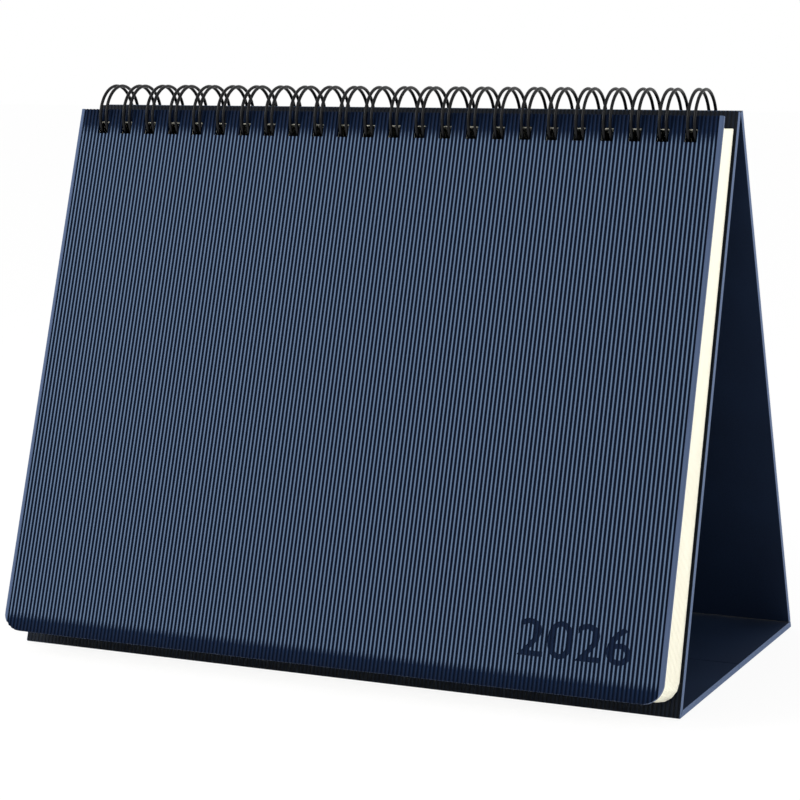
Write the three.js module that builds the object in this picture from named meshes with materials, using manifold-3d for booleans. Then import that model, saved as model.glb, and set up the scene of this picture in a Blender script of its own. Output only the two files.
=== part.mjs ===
// Flip desk calendar: a folding board stand, a twin-loop wire binding, a block of leaves and a cover.
// Millimetres, +Z up. X runs along the fold and the leaves hang on the -Y side. The pieces are laid out
// from the middle of the stand, and at the end the whole moves along Y, so that the origin is the middle
// of the calendar's own footprint, on the surface that it stands on.
import * as THREE from 'three';
import { mergeVertices } from 'three/addons/utils/BufferGeometryUtils.js';
import Module from 'manifold-3d';

const wasm = await Module();
wasm.setup();

// Stand of four board panels
const standWidth = 214;
const standHeight = 165;
const standDepth = 107.5;
const boardThickness = 1.8;
const foldGap = 0.3;
const ridgeTrim = 0.5;

// Twin-loop wire
const fingerCount = 24;
const fingerPitch = 8.467;
const fingerSpread = 2.1;
const wireDiameter = 1.0;
const loopRadius = 10;
const loopForward = 6.0;
const loopDrop = 3.4;
const barCorner = 1.1;
const seamWidth = 2.1;
const seamRise = 0.5;
const loopSteps = 12;
const turnSteps = 3;
const wireSides = 5;

// Holes and slots that the wire runs through
const holeWidth = 3.8;
const holeClearance = 0.3;

// Cover and leaves
const coverWidth = 213;
const coverHeight = 165.5;
const coverThickness = 1.15;
const coverTopRise = 0.1;
const coverLean = THREE.MathUtils.degToRad(1.35);
const leafWidth = 212;
const leafBottomRise = 1.2;
const blockThickness = 10;
const blockClearance = 0.3;
const sectionCount = 12;
const sectionGap = 0.05;
const rearLeafTopDrop = 0.85;
const frontLeafTopDrop = 3.3;
const leafHoleMargin = 1.2;
const leafHoleDrop = 0.6;
const cornerRadius = 6;
const cornerSteps = 4;

// How far the cuts run past the faces that they open
const overrun = 1;

// Shapes that follow from the sizes above
let lean = Math.atan2(standDepth / 2, standHeight);
for (let i = 0; i < 60; i++) {
  lean = Math.atan2(standDepth / 2 - boardThickness * Math.cos(lean), standHeight);
}
const hingeHeight = standHeight - boardThickness * Math.sin(lean);
const frontUp = new THREE.Vector2(Math.sin(lean), Math.cos(lean));
const frontOut = new THREE.Vector2(-Math.cos(lean), Math.sin(lean));
const loopCentre = new THREE.Vector2(-loopForward, hingeHeight - loopDrop);
const centreOut = -loopForward * frontOut.x - loopDrop * frontOut.y;
const centreUp = -loopForward * frontUp.x - loopDrop * frontUp.y;
const wireRadius = wireDiameter / 2;
const fullTurn = 2 * Math.PI;

// The wire's facets run a little outside and a little inside the true circle
const loopSweep = fullTurn - seamWidth / loopRadius;
const facetSag = loopRadius * (1 - Math.cos(loopSweep / loopSteps / 2));
const facetRadius = loopRadius + facetSag / 2;
const bandInner = loopRadius - facetSag / 2 - wireRadius;
const bandOuter = loopRadius + facetSag / 2 + wireRadius;

const coverColour = new THREE.Color('#1b2438');
const coverMaterial = new THREE.MeshStandardMaterial({ color: coverColour, roughness: 0.7, metalness: 0 });
const boardMaterial = new THREE.MeshStandardMaterial({ color: '#171f33', roughness: 0.75, metalness: 0 });
const paperMaterial = new THREE.MeshStandardMaterial({ color: '#f4efe4', roughness: 0.9, metalness: 0 });
const wireMaterial = new THREE.MeshStandardMaterial({ color: '#15171b', roughness: 0.3, metalness: 0.4 });

function toSolid(geometry) {
  const bare = geometry.clone();
  bare.deleteAttribute('normal');
  bare.deleteAttribute('uv');
  const merged = mergeVertices(bare);
  const mesh = new wasm.Mesh({
    numProp: 3,
    vertProperties: new Float32Array(merged.attributes.position.array),
    triVerts: new Uint32Array(merged.index.array),
  });
  return new wasm.Manifold(mesh);
}

function toGeometry(solid) {
  const mesh = solid.getMesh();
  const geometry = new THREE.BufferGeometry();
  geometry.setAttribute('position', new THREE.BufferAttribute(mesh.vertProperties, mesh.numProp));
  geometry.setIndex(new THREE.BufferAttribute(mesh.triVerts, 1));
  geometry.computeVertexNormals();
  return geometry;
}

function fingerX(index) {
  return (index - (fingerCount - 1) / 2) * fingerPitch;
}

// A (y, z) outline drawn out along X over the stand's width
function boardGeometry(points) {
  const shape = new THREE.Shape(points);
  const geometry = new THREE.ExtrudeGeometry(shape, { depth: standWidth, bevelEnabled: false });
  geometry.translate(0, 0, -standWidth / 2);
  const alongY = new THREE.Vector3(0, 1, 0);
  const alongZ = new THREE.Vector3(0, 0, 1);
  const alongX = new THREE.Vector3(1, 0, 0);
  geometry.applyMatrix4(new THREE.Matrix4().makeBasis(alongY, alongZ, alongX));
  return geometry;
}

// Where the wire's band crosses a board: the nearest and farthest distance down from the fold line,
// for a board hung from the fold line at each of the given turns towards the front
function slotSpan(side, turns) {
  const samples = 1440;
  let near = Infinity;
  let far = 0;
  for (const turn of turns) {
    const angle = side * lean - turn;
    const down = new THREE.Vector2(Math.sin(angle), -Math.cos(angle));
    const out = new THREE.Vector2(side * Math.cos(angle), side * Math.sin(angle));
    for (let i = 0; i < samples; i++) {
      const polar = (i / samples) * fullTurn;
      const reach = new THREE.Vector2(Math.cos(polar), Math.sin(polar)).multiplyScalar(loopRadius);
      const point = new THREE.Vector2(-loopForward, -loopDrop).add(reach);
      const depth = point.dot(out);
      const drop = point.dot(down);
      if (depth > -wireRadius && depth < boardThickness + wireRadius && drop > 0) {
        near = Math.min(near, drop);
        far = Math.max(far, drop);
      }
    }
  }
  const room = wireRadius + facetSag / 2 + holeClearance;
  return [near - room, far + room];
}

const closingTurn = THREE.MathUtils.degToRad(33);
const closingSteps = 12;
const frontSlot = slotSpan(-1, [0]);
const rearTurns = Array.from({ length: closingSteps + 1 }, (_, i) => (closingTurn * i) / closingSteps);
const rearSlot = slotSpan(1, rearTurns);

// Front or rear panel, with a square top beside the fold line. The front one's bottom is mitred on the
// corner's bisector. The rear one ends level, just above the base, so that the stand folds freely.
function panelGeometry(side, slot) {
  const half = standDepth / 2;
  const cornerHalf = (Math.PI / 2 - lean) / 2;
  const setBack = foldGap / 2 / Math.sin(cornerHalf);
  const up = new THREE.Vector2(-side * Math.sin(lean), Math.cos(lean));
  const out = new THREE.Vector2(side * Math.cos(lean), Math.sin(lean));
  const hinge = new THREE.Vector2(0, hingeHeight);
  const foot = new THREE.Vector2(side * half, 0);
  const inward = new THREE.Vector2(-side * Math.cos(cornerHalf), Math.sin(cornerHalf));
  const innerTop = hinge.clone().addScaledVector(up, -ridgeTrim);
  const outerTop = innerTop.clone().addScaledVector(out, boardThickness);
  const outerFoot = foot.clone().addScaledVector(up, setBack);
  const innerFoot = foot.clone().addScaledVector(inward, boardThickness / Math.sin(cornerHalf));
  innerFoot.addScaledVector(up, setBack);
  if (side > 0) {
    const rise = boardThickness + foldGap;
    outerFoot.copy(foot).addScaledVector(up, rise / up.y);
    innerFoot.copy(outerFoot).setX(outerFoot.x - boardThickness / Math.cos(lean));
  }
  let solid = toSolid(boardGeometry([innerTop, outerTop, outerFoot, innerFoot]));
  const slotLength = slot[1] - slot[0];
  const slotMiddle = (slot[0] + slot[1]) / 2;
  const box = new THREE.BoxGeometry(holeWidth, boardThickness + 2 * overrun, slotLength);
  for (let i = 0; i < fingerCount; i++) {
    const cutter = box.clone();
    cutter.rotateX(side * lean);
    const centre = hinge.clone().addScaledVector(up, -slotMiddle).addScaledVector(out, boardThickness / 2);
    cutter.translate(fingerX(i), centre.x, centre.y);
    solid = solid.subtract(toSolid(cutter));
  }
  return toGeometry(solid);
}

// Half of the base, square at the crease in the middle. The front half is mitred at its outer corner,
// and the rear half runs out under the rear panel to that panel's outer face.
function baseGeometry(side) {
  const half = standDepth / 2;
  const cornerHalf = (Math.PI / 2 - lean) / 2;
  const setBack = foldGap / 2 / Math.sin(cornerHalf);
  const frontReach = half - boardThickness / Math.tan(cornerHalf) - setBack;
  const rearReach = half - boardThickness * Math.tan(lean);
  const points = [
    new THREE.Vector2(side * (side < 0 ? half - setBack : half), 0),
    new THREE.Vector2((side * foldGap) / 2, 0),
    new THREE.Vector2((side * foldGap) / 2, boardThickness),
    new THREE.Vector2(side * (side < 0 ? frontReach : rearReach), boardThickness),
  ];
  return boardGeometry(points);
}

// A plate that hangs on the wire, seen from the front: square top corners, round bottom corners and
// one hole for each finger. Its extrusion runs outwards from the loop's centre.
function plateGeometry(width, top, bottom, holeTop, holeBottom, thickness) {
  const half = width / 2;
  const points = [new THREE.Vector2(half, top), new THREE.Vector2(-half, top)];
  for (let i = 0; i <= cornerSteps; i++) {
    const angle = Math.PI + ((Math.PI / 2) * i) / cornerSteps;
    const x = -half + cornerRadius + cornerRadius * Math.cos(angle);
    points.push(new THREE.Vector2(x, bottom + cornerRadius + cornerRadius * Math.sin(angle)));
  }
  for (let i = 0; i <= cornerSteps; i++) {
    const angle = 1.5 * Math.PI + ((Math.PI / 2) * i) / cornerSteps;
    const x = half - cornerRadius + cornerRadius * Math.cos(angle);
    points.push(new THREE.Vector2(x, bottom + cornerRadius + cornerRadius * Math.sin(angle)));
  }
  const shape = new THREE.Shape(points);
  let solid = toSolid(new THREE.ExtrudeGeometry(shape, { depth: thickness, bevelEnabled: false }));
  const box = new THREE.BoxGeometry(holeWidth, holeTop - holeBottom, thickness + 2 * overrun);
  for (let i = 0; i < fingerCount; i++) {
    const cutter = box.clone();
    cutter.translate(fingerX(i), (holeTop + holeBottom) / 2, thickness / 2);
    solid = solid.subtract(toSolid(cutter));
  }
  return toGeometry(solid);
}

// The span below the loop's centre that the wire's band takes between two distances out from it
function holeSpan(inner, outer) {
  const farthest = Math.max(Math.abs(inner), Math.abs(outer));
  const nearest = inner * outer < 0 ? 0 : Math.min(Math.abs(inner), Math.abs(outer));
  const top = -Math.sqrt(bandInner ** 2 - farthest ** 2) + holeClearance;
  const bottom = -Math.sqrt(bandOuter ** 2 - nearest ** 2) - holeClearance;
  return [top, bottom];
}

// Points of the wire's centre line on the loop's cylinder, as x and polar angle from +Y towards +Z
function wirePath() {
  const half = fingerSpread / 2;
  const rootAngle = Math.asin(seamRise / loopRadius);
  const tipAngle = rootAngle - loopSweep;
  const start = rootAngle - barCorner / loopRadius;
  const end = tipAngle + half / loopRadius;
  const path = [];
  for (let i = 0; i < fingerCount; i++) {
    const x = fingerX(i);
    if (i > 0) {
      path.push([x - half - barCorner, rootAngle]);
    }
    for (let k = 0; k <= loopSteps; k++) {
      path.push([x - half, start + ((end - start) * k) / loopSteps]);
    }
    for (let k = 1; k < turnSteps; k++) {
      const swing = (Math.PI * k) / turnSteps;
      path.push([x - half * Math.cos(swing), end - (half * Math.sin(swing)) / loopRadius]);
    }
    for (let k = 0; k <= loopSteps; k++) {
      path.push([x + half, end + ((start - end) * k) / loopSteps]);
    }
    if (i < fingerCount - 1) {
      path.push([x + half + barCorner, rootAngle]);
    }
  }
  return path;
}

// One unbroken tube along the path, its rings square to the wire at each point
function wireGeometry() {
  const path = wirePath();
  const centres = path.map(([x, angle]) => new THREE.Vector3(
    x,
    loopCentre.x + facetRadius * Math.cos(angle),
    loopCentre.y + facetRadius * Math.sin(angle),
  ));
  const vertices = [];
  const faces = [];
  for (let i = 0; i < centres.length; i++) {
    const before = centres[Math.max(i - 1, 0)];
    const after = centres[Math.min(i + 1, centres.length - 1)];
    const arriving = centres[i].clone().sub(before).normalize();
    const leaving = after.clone().sub(centres[i]).normalize();
    const tangent = arriving.add(leaving).normalize();
    const angle = path[i][1];
    const radial = new THREE.Vector3(0, Math.cos(angle), Math.sin(angle));
    const across = new THREE.Vector3().crossVectors(tangent, radial).normalize();
    const upright = new THREE.Vector3().crossVectors(across, tangent);
    for (let k = 0; k < wireSides; k++) {
      const turn = (fullTurn * k) / wireSides;
      const point = centres[i].clone();
      point.addScaledVector(upright, wireRadius * Math.cos(turn));
      point.addScaledVector(across, wireRadius * Math.sin(turn));
      vertices.push(point.x, point.y, point.z);
    }
  }
  const ring = (i, k) => i * wireSides + (k % wireSides);
  for (let i = 0; i < centres.length - 1; i++) {
    for (let k = 0; k < wireSides; k++) {
      faces.push(ring(i, k), ring(i + 1, k), ring(i + 1, k + 1));
      faces.push(ring(i, k), ring(i + 1, k + 1), ring(i, k + 1));
    }
  }
  const last = centres.length - 1;
  for (let k = 1; k < wireSides - 1; k++) {
    faces.push(ring(0, 0), ring(0, k), ring(0, k + 1));
    faces.push(ring(last, 0), ring(last, k + 1), ring(last, k));
  }
  const geometry = new THREE.BufferGeometry();
  geometry.setAttribute('position', new THREE.Float32BufferAttribute(vertices, 3));
  geometry.setIndex(faces);
  const solid = toSolid(geometry);
  if (solid.volume() < 0) {
    for (let i = 0; i < faces.length; i += 3) {
      [faces[i + 1], faces[i + 2]] = [faces[i + 2], faces[i + 1]];
    }
    geometry.setIndex(faces);
  }
  geometry.computeVertexNormals();
  console.log(`wire: least gap to itself ${leastGap(centres).toFixed(2)} mm`);
  return geometry;
}

// Least gap between stretches of the wire that lie well apart along it, on points of its centre line
function leastGap(centres) {
  const spacing = wireDiameter / 3;
  const points = [];
  for (let i = 0; i < centres.length - 1; i++) {
    const steps = Math.ceil(centres[i].distanceTo(centres[i + 1]) / spacing);
    for (let k = 0; k < steps; k++) {
      points.push(centres[i].clone().lerp(centres[i + 1], k / steps));
    }
  }
  const along = [0];
  for (let i = 1; i < points.length; i++) {
    along.push(along[i - 1] + points[i].distanceTo(points[i - 1]));
  }
  let least = Infinity;
  for (let i = 0; i < points.length; i++) {
    for (let j = i + 1; j < points.length; j++) {
      if (along[j] - along[i] > fingerSpread * 2 && Math.abs(points[i].x - points[j].x) < fingerPitch) {
        least = Math.min(least, points[i].distanceTo(points[j]));
      }
    }
  }
  return least - wireDiameter;
}

const calendar = new THREE.Group();

function addMesh(parent, name, geometry, material) {
  const mesh = new THREE.Mesh(geometry, material);
  mesh.name = name;
  parent.add(mesh);
  return mesh;
}

addMesh(calendar, 'front_panel', panelGeometry(-1, frontSlot), boardMaterial);
addMesh(calendar, 'rear_panel', panelGeometry(1, rearSlot), boardMaterial);
addMesh(calendar, 'base_front', baseGeometry(-1), boardMaterial);
addMesh(calendar, 'base_rear', baseGeometry(1), boardMaterial);
addMesh(calendar, 'binding_wire', wireGeometry(), wireMaterial);

// A group whose Y runs up the front panel and whose Z runs out of it, leaning out from the panel
// about the loop's centre by the given angle
function hangingGroup(extraLean) {
  const group = new THREE.Group();
  group.position.set(0, loopCentre.x, loopCentre.y);
  group.rotation.x = Math.PI / 2 - lean - extraLean;
  calendar.add(group);
  return group;
}

const blockBack = boardThickness + blockClearance - centreOut;
const coverBack = blockBack + blockThickness + sectionGap;
const [coverHoleTop, coverHoleBottom] = holeSpan(coverBack, coverBack + coverThickness);
const sectionPitch = blockThickness / sectionCount;
const sectionThickness = sectionPitch - sectionGap;

// The leaves' holes start just below the top of the cover's, and run down as far as the wire needs
const leafHoleTop = coverHoleTop - leafHoleDrop;
for (let i = 0; i < sectionCount; i++) {
  const back = blockBack + i * sectionPitch;
  const share = i / (sectionCount - 1);
  const slope = -rearLeafTopDrop - (frontLeafTopDrop - rearLeafTopDrop) * share;
  const top = Math.max(slope, leafHoleTop + leafHoleMargin);
  const holeBottom = holeSpan(back, back + sectionThickness)[1];
  const bottom = coverTopRise - coverHeight + leafBottomRise;
  const geometry = plateGeometry(leafWidth, top, bottom, leafHoleTop, holeBottom, sectionThickness);
  const group = hangingGroup((coverLean * i) / sectionCount);
  const mesh = addMesh(group, `leaves_month_${String(i + 1).padStart(2, '0')}`, geometry, paperMaterial);
  mesh.position.z = back;
}

const coverPlate = plateGeometry(
  coverWidth,
  coverTopRise,
  coverTopRise - coverHeight,
  coverHoleTop,
  coverHoleBottom,
  coverThickness,
);
const coverMesh = addMesh(hangingGroup(coverLean), 'front_cover', coverPlate, coverMaterial);
coverMesh.position.z = coverBack;

// The cover hangs out past the stand, so the footprint's middle lies in front of the fold
calendar.updateMatrixWorld(true);
const footprint = new THREE.Box3().setFromObject(calendar, true).getCenter(new THREE.Vector3());
calendar.position.y = -footprint.y;

console.log(`moved along Y by ${calendar.position.y.toFixed(6)} mm, X centre ${footprint.x.toFixed(6)}`);
console.log(`slots: front ${frontSlot.map((v) => v.toFixed(2))} rear ${rearSlot.map((v) => v.toFixed(2))}`);
console.log(`lean ${THREE.MathUtils.radToDeg(lean).toFixed(4)} hinge ${hingeHeight.toFixed(4)}`);
console.log(`loop centre ${loopCentre.x.toFixed(4)} ${loopCentre.y.toFixed(4)} out ${centreOut.toFixed(4)} up ${centreUp.toFixed(4)}`);

export default calendar;
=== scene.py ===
"""Flip desk calendar: folding board stand, twin-loop wire, a block of leaves and a ribbed cover."""
import math

import bmesh
import bpy
from mathutils import Matrix, Vector


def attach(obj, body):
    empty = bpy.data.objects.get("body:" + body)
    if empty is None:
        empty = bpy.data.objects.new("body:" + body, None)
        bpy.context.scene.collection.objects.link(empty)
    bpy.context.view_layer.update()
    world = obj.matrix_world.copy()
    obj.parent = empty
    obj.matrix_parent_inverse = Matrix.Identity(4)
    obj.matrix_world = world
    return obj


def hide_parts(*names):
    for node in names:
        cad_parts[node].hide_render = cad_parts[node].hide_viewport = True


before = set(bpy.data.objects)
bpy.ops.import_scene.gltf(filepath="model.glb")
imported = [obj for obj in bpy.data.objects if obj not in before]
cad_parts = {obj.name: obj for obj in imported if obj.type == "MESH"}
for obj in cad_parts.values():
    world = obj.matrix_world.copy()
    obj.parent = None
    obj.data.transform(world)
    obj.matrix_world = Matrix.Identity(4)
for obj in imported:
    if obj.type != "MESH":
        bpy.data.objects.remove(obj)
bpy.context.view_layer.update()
bpy.ops.object.select_all(action="DESELECT")

# Studio: a white floor and a white world, seen as white and lighting the object softly, with a lamp at
# the left, where the ribs of the cover catch it, and a fainter one at the right for the block's end.


def linear(hex_colour):
    """The linear colour of an sRGB hex value."""
    parts = [int(hex_colour[i:i + 2], 16) / 255 for i in (1, 3, 5)]
    return [p / 12.92 if p <= 0.04045 else ((p + 0.055) / 1.055) ** 2.4 for p in parts] + [1.0]


def add_node(tree, kind, inputs=None, **settings):
    """Adds a node with its settings. An input is a value, or a socket to link from."""
    node = tree.nodes.new(kind)
    for name, value in settings.items():
        setattr(node, name, value)
    for key, value in (inputs or {}).items():
        if isinstance(value, bpy.types.NodeSocket):
            tree.links.new(value, node.inputs[key])
        else:
            node.inputs[key].default_value = value
    return node


def start_material(name):
    """A new material with an empty node tree. Returns both."""
    material = bpy.data.materials.new(name)
    material.use_nodes = True
    material.node_tree.nodes.clear()
    return material, material.node_tree


world = bpy.data.worlds.new("studio_light")
bpy.context.scene.world = world
world.use_nodes = True
sky = world.node_tree
sky.nodes.clear()
white = add_node(sky, "ShaderNodeBackground", {"Color": linear("#FFFFFF"), "Strength": 1.0})
add_node(sky, "ShaderNodeOutputWorld", {"Surface": white.outputs[0]})

bpy.ops.mesh.primitive_plane_add(size=6, location=(0, 0, -0.0005))
floor = bpy.context.object
floor.name = "studio_floor"
floor_paint, tree = start_material("white_floor")
rays = add_node(tree, "ShaderNodeLightPath")
matt = add_node(tree, "ShaderNodeBsdfDiffuse", {"Color": linear("#F4F4F4")})
glow = add_node(tree, "ShaderNodeEmission", {"Color": linear("#FFFFFF"), "Strength": 1.0})
lifted = add_node(tree, "ShaderNodeMixShader", {0: 0.9, 1: matt.outputs[0], 2: glow.outputs[0]})
seen = add_node(tree, "ShaderNodeMixShader", {
    0: rays.outputs["Is Camera Ray"], 1: matt.outputs[0], 2: lifted.outputs[0],
})
add_node(tree, "ShaderNodeOutputMaterial", {"Surface": seen.outputs[0]})
floor.data.materials.append(floor_paint)

bpy.context.scene.view_settings.view_transform = "Standard"
bpy.ops.object.light_add(type="AREA", location=(-0.55, -0.5, 0.5))
lamp = bpy.context.object
lamp.name = "soft_lamp"
lamp.data.shape = "RECTANGLE"
lamp.data.size = 0.25
lamp.data.size_y = 0.5
lamp.data.energy = 4.5
lamp.rotation_euler = (Vector((0, 0, 0.08)) - lamp.location).to_track_quat("-Z", "Y").to_euler()
bpy.ops.object.light_add(type="AREA", location=(0.9, -0.15, 0.45))
side_lamp = bpy.context.object
side_lamp.name = "side_lamp"
side_lamp.data.size = 0.5
side_lamp.data.energy = 1.9
side_lamp.rotation_euler = (Vector((0.1, 0, 0.08)) - side_lamp.location).to_track_quat("-Z", "Y").to_euler()

# Camera at the photograph's angle, a long lens from the right of the cover and a little above.
# The ridge lies this far behind the middle of the calendar's footprint, where the frame has its origin.
footprint_shift = 0.006918057
camera_data = bpy.data.cameras.new("photo_camera")
camera_data.sensor_width = 36
camera_data.lens = 111.93
camera_data.shift_x = 0.0165
camera_data.shift_y = -0.1407
camera_data.clip_start = 0.01
camera = bpy.data.objects.new("photo_camera", camera_data)
bpy.context.collection.objects.link(camera)
yaw, pitch, roll = (math.radians(a) for a in (25.62, -6.97, -0.80))
right = Vector((math.cos(yaw), math.sin(yaw), 0))
level = Vector((-math.sin(yaw), math.cos(yaw), 0))
forward = level * math.cos(pitch) + Vector((0, 0, math.sin(pitch)))
upward = -level * math.sin(pitch) + Vector((0, 0, math.cos(pitch)))
camera_right = right * math.cos(roll) + upward * math.sin(roll)
camera_up = upward * math.cos(roll) - right * math.sin(roll)
turned = Matrix((camera_right, camera_up, -forward)).transposed().to_4x4()
camera.matrix_world = Matrix.Translation((0.32345, -0.68776 + footprint_shift, 0.20224)) @ turned
bpy.context.scene.camera = camera

# Stand: four panels of grey board wrapped in dark blue paper, embossed with ribs outside and smooth
# inside. The wrap is creased along the ridge, the two floor edges and the middle of the base. The ends
# show the cut board, a lighter blue grey. The panels keep their CAD shape.
stand_half = 0.107
board = 0.0018
rib_pitch = 0.00125
# Faces within this of a piece's end count as its cut end.
end_skin = 0.00006
stand_lean = math.radians(17.502854)
ridge = Vector((0, footprint_shift, 0.164458644))
front_up = Vector((0, math.sin(stand_lean), math.cos(stand_lean)))
front_out = Vector((0, -math.cos(stand_lean), math.sin(stand_lean)))
rear_out = Vector((0, math.cos(stand_lean), math.sin(stand_lean)))


def wrapped_board(name, outward, start, crest):
    """Dark blue wrapped board. Ribs of the crest colour are embossed past start along outward."""
    material, tree = start_material(name)
    place = add_node(tree, "ShaderNodeTexCoord").outputs["Object"]
    x = add_node(tree, "ShaderNodeSeparateXYZ", {0: place}).outputs["X"]
    far = add_node(tree, "ShaderNodeMath", {0: x}, operation="ABSOLUTE").outputs[0]
    at_end = add_node(
        tree, "ShaderNodeMath", {0: far, 1: stand_half - end_skin}, operation="GREATER_THAN").outputs[0]
    # Wrap paper has fine fibres, about 0.3 mm, and a slow change of tone over a few centimetres.
    fibre = add_node(
        tree, "ShaderNodeTexNoise", {"Vector": place, "Scale": 3200.0, "Detail": 3.0}).outputs["Fac"]
    tone = add_node(
        tree, "ShaderNodeTexNoise", {"Vector": place, "Scale": 28.0, "Detail": 2.0}).outputs["Fac"]
    mixed = add_node(tree, "ShaderNodeMath", {0: fibre, 1: tone}, operation="ADD").outputs[0]
    ramp = add_node(tree, "ShaderNodeValToRGB", {"Fac": add_node(
        tree, "ShaderNodeMath", {0: mixed, 1: 0.5}, operation="MULTIPLY").outputs[0]})
    ramp.color_ramp.elements[0].position = 0.35
    ramp.color_ramp.elements[0].color = linear("#101B2E")
    ramp.color_ramp.elements[1].position = 0.65
    ramp.color_ramp.elements[1].color = linear("#17253C")
    wrap = ramp.outputs[0]
    height = add_node(tree, "ShaderNodeMath", {0: fibre, 1: 0.08}, operation="MULTIPLY").outputs[0]
    along = add_node(
        tree, "ShaderNodeVectorMath", {0: place, 1: outward}, operation="DOT_PRODUCT").outputs["Value"]
    outside = add_node(tree, "ShaderNodeMath", {0: along, 1: start}, operation="GREATER_THAN").outputs[0]
    # One wave band for each 1.25 mm rib, painted near black in the groove as shade and in the crest colour as
    # light.
    rib = add_node(tree, "ShaderNodeTexWave", {
        "Vector": place, "Scale": 2 * math.pi / (20 * rib_pitch), "Distortion": 0.0,
    }, wave_type="BANDS", bands_direction="X").outputs["Fac"]
    ribs = add_node(tree, "ShaderNodeMath", {0: rib, 1: outside}, operation="MULTIPLY").outputs[0]
    height = add_node(tree, "ShaderNodeMath", {0: height, 1: ribs}, operation="ADD").outputs[0]
    ribbed = add_node(
        tree, "ShaderNodeMix", {0: rib, 6: linear("#04080F"), 7: linear(crest)}, data_type="RGBA").outputs[2]
    wrap = add_node(tree, "ShaderNodeMix", {0: outside, 6: wrap, 7: ribbed}, data_type="RGBA").outputs[2]
    cut = add_node(
        tree, "ShaderNodeMix", {0: at_end, 6: wrap, 7: linear("#566684")}, data_type="RGBA").outputs[2]
    bump = add_node(tree, "ShaderNodeBump", {"Height": height, "Strength": 0.9, "Distance": 0.00022})
    shader = add_node(tree, "ShaderNodeBsdfPrincipled", {
        "Base Color": cut, "Normal": bump.outputs[0], "Roughness": 0.62, "Specular IOR Level": 0.12,
    })
    add_node(tree, "ShaderNodeOutputMaterial", {"Surface": shader.outputs[0]})
    return material


def dress(node_name, material):
    """Gives a CAD node that keeps its shape its finished material."""
    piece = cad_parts[node_name]
    piece.data.materials.clear()
    piece.data.materials.append(material)


half_board = board / 2
down = Vector((0, 0, -1))
# The front panel's crests are painted near black as shade; the other panels' crests are a greyer blue as
# painted light.
for node_name, outward, start, crest in (
    ("front_panel", front_out, front_out.dot(ridge) + half_board, "#0C1420"),
    ("rear_panel", rear_out, rear_out.dot(ridge) + half_board, "#3F5068"),
    ("base_front", down, -half_board, "#3F5068"),
    ("base_rear", down, -half_board, "#3F5068"),
):
    dress(node_name, wrapped_board(node_name + "_wrap", outward, start, crest))

# Leaves: twelve sections of uncoated cream paper with round lower corners, punched for the wire. Their
# cut edges show as fine lines across the block. They keep their CAD shape.
sheet_line = 0.00035
leaf_half = 0.106
finger_pitch = 0.008467
# The holes' walls lie in a band this far below the ridge, within these reaches of the middle of each
# hole, and no further out than the last one.
punch_drop = 0.0128
punch_reach_up = 0.0045
punch_reach_across = 0.00196
last_punch = 0.102
paper, tree = start_material("cream_uncoated_paper")
place = add_node(tree, "ShaderNodeTexCoord").outputs["Object"]
turned = add_node(tree, "ShaderNodeMapping", {
    "Vector": place, "Rotation": (-(math.pi / 2 - stand_lean), 0, 0),
}).outputs[0]
# Sheets are about 0.1 mm thick, so their edge lines are drawn three times as coarse to show.
sheets = add_node(tree, "ShaderNodeTexWave", {
    "Vector": turned, "Scale": 2 * math.pi / (20 * sheet_line), "Distortion": 1.2, "Detail": 1.0,
    "Detail Scale": 0.02,
}, wave_type="BANDS", bands_direction="Z").outputs["Fac"]
x = add_node(tree, "ShaderNodeSeparateXYZ", {0: place}).outputs["X"]
far = add_node(tree, "ShaderNodeMath", {0: x}, operation="ABSOLUTE").outputs[0]
at_end = add_node(
    tree, "ShaderNodeMath", {0: far, 1: leaf_half - end_skin}, operation="GREATER_THAN").outputs[0]
lines = add_node(tree, "ShaderNodeMath", {0: sheets, 1: at_end}, operation="MULTIPLY").outputs[0]
grain = add_node(tree, "ShaderNodeTexNoise", {"Vector": place, "Scale": 2500.0, "Detail": 2.0}).outputs["Fac"]
tone = add_node(
    tree, "ShaderNodeMix", {0: lines, 6: linear("#FBF8E6"), 7: linear("#F4EFDC")}, data_type="RGBA").outputs[2]
# The walls of the punched holes are painted near black as the shade deep inside the holes. Only the walls are
# painted: not the sheets' faces, nor the block's own ends.
up = add_node(tree, "ShaderNodeVectorMath", {0: place, 1: front_up}, operation="DOT_PRODUCT").outputs["Value"]
punch_level = front_up.dot(ridge) - punch_drop
level = add_node(
    tree, "ShaderNodeMath", {0: up, 1: punch_level, 2: punch_reach_up}, operation="COMPARE").outputs[0]
turn = add_node(tree, "ShaderNodeMath", {0: x, 1: 1 / finger_pitch}, operation="MULTIPLY").outputs[0]
turn = add_node(tree, "ShaderNodeMath", {0: turn}, operation="FRACT").outputs[0]
column = add_node(tree, "ShaderNodeMath", {
    0: turn, 1: 0.5, 2: punch_reach_across / finger_pitch,
}, operation="COMPARE").outputs[0]
hole_wall_shade = add_node(tree, "ShaderNodeMath", {0: level, 1: column}, operation="MULTIPLY").outputs[0]
facing = add_node(tree, "ShaderNodeTexCoord").outputs["Normal"]
facing = add_node(
    tree, "ShaderNodeVectorMath", {0: facing, 1: front_out}, operation="DOT_PRODUCT").outputs["Value"]
facing = add_node(tree, "ShaderNodeMath", {0: facing}, operation="ABSOLUTE").outputs[0]
wall = add_node(tree, "ShaderNodeMath", {0: facing, 1: 0.5}, operation="LESS_THAN").outputs[0]
hole_wall_shade = add_node(tree, "ShaderNodeMath", {0: hole_wall_shade, 1: wall}, operation="MULTIPLY").outputs[0]
inside = add_node(tree, "ShaderNodeMath", {0: far, 1: last_punch}, operation="LESS_THAN").outputs[0]
hole_wall_shade = add_node(tree, "ShaderNodeMath", {0: hole_wall_shade, 1: inside}, operation="MULTIPLY").outputs[0]
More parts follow.
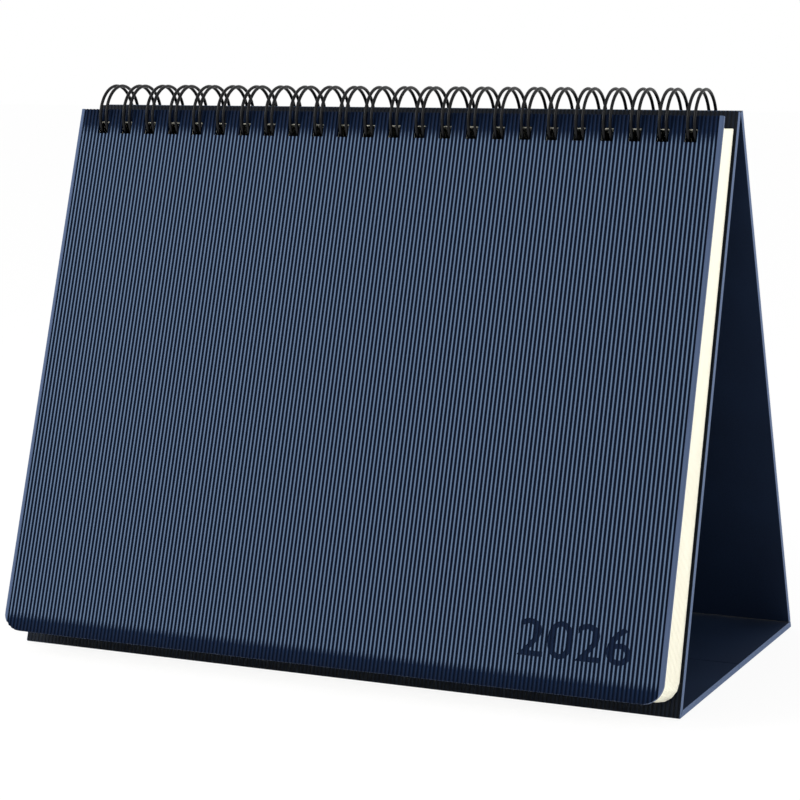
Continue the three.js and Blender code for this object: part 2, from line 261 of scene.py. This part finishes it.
tone = add_node(
    tree, "ShaderNodeMix", {0: hole_wall_shade, 6: tone, 7: linear("#0A0C10")}, data_type="RGBA").outputs[2]
height = add_node(tree, "ShaderNodeMath", {0: lines, 1: grain}, operation="ADD").outputs[0]
bump = add_node(tree, "ShaderNodeBump", {"Height": height, "Strength": 0.4, "Distance": 0.00004})
shader = add_node(tree, "ShaderNodeBsdfPrincipled", {
    "Base Color": tone, "Normal": bump.outputs[0], "Roughness": 0.85, "Specular IOR Level": 0.25,
})
add_node(tree, "ShaderNodeOutputMaterial", {"Surface": shader.outputs[0]})
for number in range(1, 13):
    dress(f"leaves_month_{number:02d}", paper)

# Cover: a stiff board with round ribs pressed down its whole height, round lower corners, one hole for
# each wire finger, and a plain year number pressed flat into the ribs near the lower right corner.
loop_centre = Vector((0, footprint_shift - 0.006, 0.161058644))
cover_lean = math.radians(1.35)
cover_half = 0.1065
cover_top = 0.0001
cover_bottom = cover_top - 0.1655
# The loops' centre stands this far out from the front panel's inner face.
loop_out = 0.00469965
block_clearance = 0.0003
block_thickness = 0.010
section_gap = 0.00005
cover_back = board + block_clearance - loop_out + block_thickness + section_gap
cover_thickness = 0.00115
rib_depth = 0.0004
corner = 0.006
hole_width = 0.0038
hole_top = -0.0037
hole_bottom = -0.0078
finger_count = 24
cover_frame = (Matrix.Translation(loop_centre)
               @ Matrix.Rotation(math.pi / 2 - stand_lean - cover_lean, 4, "X"))
# A round rib, as shares of the pitch along it and of the depth up it.
rib_shares = ((0.20, 0.0), (0.24, 0.45), (0.32, 0.82), (0.43, 1.0),
              (0.57, 1.0), (0.68, 0.82), (0.76, 0.45), (0.80, 0.0))


def prism(name, outline, low, high):
    """A solid of a closed outline, drawn out from low to high along the local Z."""
    mesh = bpy.data.meshes.new(name)
    builder = bmesh.new()
    bottom = [builder.verts.new((x, y, low)) for x, y in outline]
    top = [builder.verts.new((x, y, high)) for x, y in outline]
    builder.faces.new(list(reversed(bottom)))
    builder.faces.new(top)
    for i in range(len(outline)):
        j = (i + 1) % len(outline)
        builder.faces.new((bottom[i], bottom[j], top[j], top[i]))
    bmesh.ops.recalc_face_normals(builder, faces=builder.faces)
    builder.to_mesh(mesh)
    builder.free()
    piece = bpy.data.objects.new(name, mesh)
    bpy.context.collection.objects.link(piece)
    return piece


def carve(piece, tool, operation):
    """Cuts or trims a piece with a tool, which is then thrown away."""
    modifier = piece.modifiers.new("carve", "BOOLEAN")
    modifier.operation = operation
    modifier.solver = "EXACT"
    modifier.object = tool
    bpy.ops.object.select_all(action="DESELECT")
    bpy.context.view_layer.objects.active = piece
    piece.select_set(True)
    bpy.ops.object.modifier_apply(modifier=modifier.name)
    bpy.data.objects.remove(tool, do_unlink=True)


# The ribs' cross-section lies in X and Z and is drawn out up the cover, so it is made flat and turned.
# A smooth rounded border is left along each side edge.
rib_count = 168
rib_half = rib_count * rib_pitch / 2
groove = cover_back + cover_thickness - rib_depth
border = [(cover_half + 0.0005, 0.0), (cover_half + 0.0005, 0.0003), (cover_half - 0.0001, 0.00085),
          (cover_half - 0.0003, 0.00106), (cover_half - 0.0006, 0.00115), (rib_half + 0.0003, 0.00115),
          (rib_half + 0.0001, 0.00075)]
section = [(-x, cover_back + z) for x, z in border]
for i in range(rib_count):
    for share, rise in rib_shares:
        section.append(((i + share) * rib_pitch - rib_half, groove + rise * rib_depth))
section.extend((x, cover_back + z) for x, z in reversed(border))
cover = prism("ribbed_cover", [(x, -z) for x, z in reversed(section)], cover_bottom - 0.002, cover_top + 0.002)
cover.data.transform(Matrix.Rotation(-math.pi / 2, 4, "X"))

outline = [(cover_half, cover_top), (-cover_half, cover_top)]
corner_steps = 12
for side, first in ((-1, math.pi), (1, 1.5 * math.pi)):
    for i in range(corner_steps + 1):
        angle = first + math.pi / 2 * i / corner_steps
        outline.append((side * (cover_half - corner) + corner * math.cos(angle),
                        cover_bottom + corner + corner * math.sin(angle)))
carve(cover, prism("outline", outline, cover_back - 0.002, cover_back + 0.004), "INTERSECT")

holes = None
for i in range(finger_count):
    x = (i - (finger_count - 1) / 2) * finger_pitch
    square = [(x - hole_width / 2, hole_bottom), (x + hole_width / 2, hole_bottom),
              (x + hole_width / 2, hole_top), (x - hole_width / 2, hole_top)]
    hole = prism("hole", square, cover_back - 0.001, cover_back + 0.003)
    if holes is None:
        holes = hole
    else:
        bpy.ops.object.select_all(action="DESELECT")
        hole.select_set(True)
        holes.select_set(True)
        bpy.context.view_layer.objects.active = holes
        bpy.ops.object.join()
carve(cover, holes, "DIFFERENCE")

# The number stamp is a generic typeface drawn out to a solid that flattens the ribs to stamp_floor.
stamp_half = 0.0006
stamp_floor = groove + 0.4 * rib_depth
bpy.ops.object.text_add()
stamp = bpy.context.object
stamp.name = "number_stamp"
stamp.data.body = "2026"
stamp.data.size = 0.0122
stamp.data.extrude = stamp_half
stamp.data.resolution_u = 4
stamp.data.offset = 0.00004
stamp.data.space_character = 1.0
bpy.ops.object.convert(target="MESH")
low = Vector([min(v.co[k] for v in stamp.data.vertices) for k in range(3)])
high = Vector([max(v.co[k] for v in stamp.data.vertices) for k in range(3)])
number_left = 0.0630
number_right = 0.0964
number_bottom = -0.1559
number_top = -0.1453
scale_x = (number_right - number_left) / (high.x - low.x)
scale_y = (number_top - number_bottom) / (high.y - low.y)
stamp.data.transform(Matrix.Translation((number_left, number_bottom, stamp_floor + stamp_half))
                     @ Matrix.Diagonal((scale_x, scale_y, 1, 1))
                     @ Matrix.Translation((-low.x, -low.y, 0)))
builder = bmesh.new()
builder.from_mesh(stamp.data)
bmesh.ops.remove_doubles(builder, verts=builder.verts, dist=0.000002)
bmesh.ops.recalc_face_normals(builder, faces=builder.faces)
builder.to_mesh(stamp.data)
builder.free()
carve(cover, stamp, "DIFFERENCE")

cover_wrap, tree = start_material("ribbed_cover_wrap")
place = add_node(tree, "ShaderNodeTexCoord").outputs["Object"]
# The grooves are painted nearly black as shade and the ribs' crests a greyer blue as painted light, by height
# above the groove; fine fibres add a little real tone.
cover_out = (cover_frame.to_3x3() @ Vector((0, 0, 1))).normalized()
groove_reach = cover_out.dot(cover_frame @ Vector((0, 0, groove)))
reach = add_node(
    tree, "ShaderNodeVectorMath", {0: place, 1: cover_out}, operation="DOT_PRODUCT").outputs["Value"]
rise = add_node(tree, "ShaderNodeMapRange", {
    "Value": reach, "From Min": groove_reach + 0.1 * rib_depth, "From Max": groove_reach + rib_depth,
}).outputs[0]
fibre = add_node(tree, "ShaderNodeTexNoise", {"Vector": place, "Scale": 3000.0, "Detail": 3.0}).outputs["Fac"]
# Near the top and bottom edges the crests' painted light is turned down, so they stay darker.
low_fade_height = 0.006
top_fade_height = 0.009
cover_up = (cover_frame.to_3x3() @ Vector((0, 1, 0))).normalized()
up_start = cover_up.dot(loop_centre)
up = add_node(tree, "ShaderNodeVectorMath", {0: place, 1: cover_up}, operation="DOT_PRODUCT").outputs["Value"]
low_fade = add_node(tree, "ShaderNodeMapRange", {
    "Value": up, "From Min": up_start + cover_bottom, "From Max": up_start + cover_bottom + low_fade_height,
    "To Min": 0.25,
}).outputs[0]
top_fade = add_node(tree, "ShaderNodeMapRange", {
    "Value": up, "From Min": up_start + cover_top, "From Max": up_start + cover_top - top_fade_height,
    "To Min": 0.3,
}).outputs[0]
fade = add_node(tree, "ShaderNodeMath", {0: low_fade, 1: top_fade}, operation="MULTIPLY").outputs[0]
rise = add_node(tree, "ShaderNodeMath", {0: rise, 1: fade}, operation="MULTIPLY").outputs[0]
crest_shading_and_fibre = add_node(tree, "ShaderNodeMath", {0: fibre, 1: 0.2}, operation="MULTIPLY").outputs[0]
crest_shading_and_fibre = add_node(tree, "ShaderNodeMath", {0: rise, 1: crest_shading_and_fibre}, operation="ADD").outputs[0]
# Ramp from the painted groove shade (#050F22) through #0E1F38 to the painted crest light (#566880).
ramp = add_node(tree, "ShaderNodeValToRGB", {"Fac": crest_shading_and_fibre})
ramp.color_ramp.elements[0].position = 0.1
ramp.color_ramp.elements[0].color = linear("#050F22")
ramp.color_ramp.elements[1].position = 1.0
ramp.color_ramp.elements[1].color = linear("#566880")
middle = ramp.color_ramp.elements.new(0.78)
middle.color = linear("#0E1F38")
# The wrap turned over the two side edges is stretched and paler.
side = add_node(tree, "ShaderNodeMath", {0: add_node(
    tree, "ShaderNodeSeparateXYZ", {0: place}).outputs["X"]}, operation="ABSOLUTE").outputs[0]
turned_in = add_node(
    tree, "ShaderNodeMath", {0: side, 1: rib_half + 0.0002}, operation="GREATER_THAN").outputs[0]
edged = add_node(tree, "ShaderNodeMix", {
    0: turned_in, 6: ramp.outputs[0], 7: linear("#46546E"),
}, data_type="RGBA").outputs[2]
bump = add_node(tree, "ShaderNodeBump", {"Height": fibre, "Strength": 0.5, "Distance": 0.00003})
shader = add_node(tree, "ShaderNodeBsdfPrincipled", {
    "Base Color": edged, "Normal": bump.outputs[0], "Roughness": 0.55, "Specular IOR Level": 0.05,
})
add_node(tree, "ShaderNodeOutputMaterial", {"Surface": shader.outputs[0]})

cut_board, tree = start_material("cut_board_edge")
place = add_node(tree, "ShaderNodeTexCoord").outputs["Object"]
pulp = add_node(tree, "ShaderNodeTexNoise", {"Vector": place, "Scale": 4000.0, "Detail": 3.0}).outputs["Fac"]
ramp = add_node(tree, "ShaderNodeValToRGB", {"Fac": pulp})
ramp.color_ramp.elements[0].color = linear("#46546E")
ramp.color_ramp.elements[1].color = linear("#5A6A8A")
bump = add_node(tree, "ShaderNodeBump", {"Height": pulp, "Strength": 0.5, "Distance": 0.00005})
shader = add_node(tree, "ShaderNodeBsdfPrincipled", {
    "Base Color": ramp.outputs[0], "Normal": bump.outputs[0], "Roughness": 0.75,
})
add_node(tree, "ShaderNodeOutputMaterial", {"Surface": shader.outputs[0]})

cover.data.materials.clear()
cover.data.materials.append(cover_wrap)
cover.data.materials.append(cut_board)
# Faces within these distances of the sides and of the round corners are the cut edge.
edge_skin = 0.00003
rim_skin = 0.0001
for face in cover.data.polygons:
    face.material_index = 0
    centre = face.center
    on_side = abs(centre.x) > cover_half - edge_skin or centre.y < cover_bottom + edge_skin
    on_corner = abs(centre.x) > cover_half - corner and centre.y < cover_bottom + corner
    from_corner = Vector((abs(centre.x) - (cover_half - corner), cover_bottom + corner - centre.y)).length
    on_rim = on_corner and abs(from_corner - corner) < rim_skin
    if abs(face.normal.z) < 0.1 and (on_side or on_rim):
        face.material_index = 1
cover.data.transform(cover_frame)
bpy.ops.object.select_all(action="DESELECT")
cover.select_set(True)
bpy.context.view_layer.objects.active = cover
bpy.ops.object.shade_smooth_by_angle(angle=math.radians(40))
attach(cover, "cover")
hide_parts("front_cover")

# Wire: one length of black nylon-coated steel, 1 mm thick, bent into twin-loop fingers and closed round
# the boards. It runs in through the cover's holes and over the ridge.
wire_half = 0.0005
# A little inside the CAD loops, whose sides are flat, so that the round ones stay within their box.
loop_radius = 0.00985
finger_half = 0.00105
bar_corner = 0.0011
seam_rise = 0.0005
seam_width = 0.0021
root_angle = math.asin(seam_rise / loop_radius)
tip_angle = root_angle - (2 * math.pi - seam_width / loop_radius)
start_angle = root_angle - bar_corner / loop_radius
end_angle = tip_angle + finger_half / loop_radius
arc_steps = 44
turn_steps = 10
bend_steps = 5
route = []
for i in range(finger_count):
    x = (i - (finger_count - 1) / 2) * finger_pitch
    if i > 0:
        for k in range(bend_steps):
            swing = math.pi / 2 * k / bend_steps
            route.append((x - finger_half - bar_corner + bar_corner * math.sin(swing),
                          root_angle - bar_corner * (1 - math.cos(swing)) / loop_radius))
    for k in range(arc_steps + 1):
        route.append((x - finger_half, start_angle + (end_angle - start_angle) * k / arc_steps))
    for k in range(1, turn_steps):
        swing = math.pi * k / turn_steps
        route.append((x - finger_half * math.cos(swing),
                      end_angle - finger_half * math.sin(swing) / loop_radius))
    for k in range(arc_steps + 1):
        route.append((x + finger_half, end_angle + (start_angle - end_angle) * k / arc_steps))
    if i < finger_count - 1:
        for k in range(1, bend_steps + 1):
            swing = math.pi / 2 * k / bend_steps
            route.append((x + finger_half + bar_corner * (1 - math.cos(swing)),
                          root_angle - bar_corner * (1 - math.sin(swing)) / loop_radius))
wire_curve = bpy.data.curves.new("twin_loop_wire", "CURVE")
wire_curve.dimensions = "3D"
wire_curve.bevel_depth = wire_half
wire_curve.bevel_resolution = 2
wire_curve.use_fill_caps = True
spline = wire_curve.splines.new("POLY")
spline.points.add(len(route) - 1)
for point, (x, angle) in zip(spline.points, route):
    point.co = (x, loop_centre.y + loop_radius * math.cos(angle),
                loop_centre.z + loop_radius * math.sin(angle), 1)
wire = bpy.data.objects.new("twin_loop_wire", wire_curve)
bpy.context.collection.objects.link(wire)
bpy.ops.object.select_all(action="DESELECT")
wire.select_set(True)
bpy.context.view_layer.objects.active = wire
bpy.ops.object.convert(target="MESH")
wire = bpy.context.object
bpy.ops.object.shade_smooth_by_angle(angle=math.radians(50))
coating, tree = start_material("black_nylon_coated_steel")
place = add_node(tree, "ShaderNodeTexCoord").outputs["Object"]
ripple = add_node(tree, "ShaderNodeTexNoise", {"Vector": place, "Scale": 900.0, "Detail": 2.0}).outputs["Fac"]
ramp = add_node(tree, "ShaderNodeValToRGB", {"Fac": ripple})
ramp.color_ramp.elements[0].color = linear("#040506")
ramp.color_ramp.elements[1].color = linear("#0A0B0E")
bump = add_node(tree, "ShaderNodeBump", {"Height": ripple, "Strength": 0.15, "Distance": 0.00002})
shader = add_node(tree, "ShaderNodeBsdfPrincipled", {
    "Base Color": ramp.outputs[0], "Normal": bump.outputs[0], "Roughness": 0.3, "Specular IOR Level": 0.15,
})
add_node(tree, "ShaderNodeOutputMaterial", {"Surface": shader.outputs[0]})
wire.data.materials.clear()
wire.data.materials.append(coating)
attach(wire, "stand_front")
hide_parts("binding_wire")
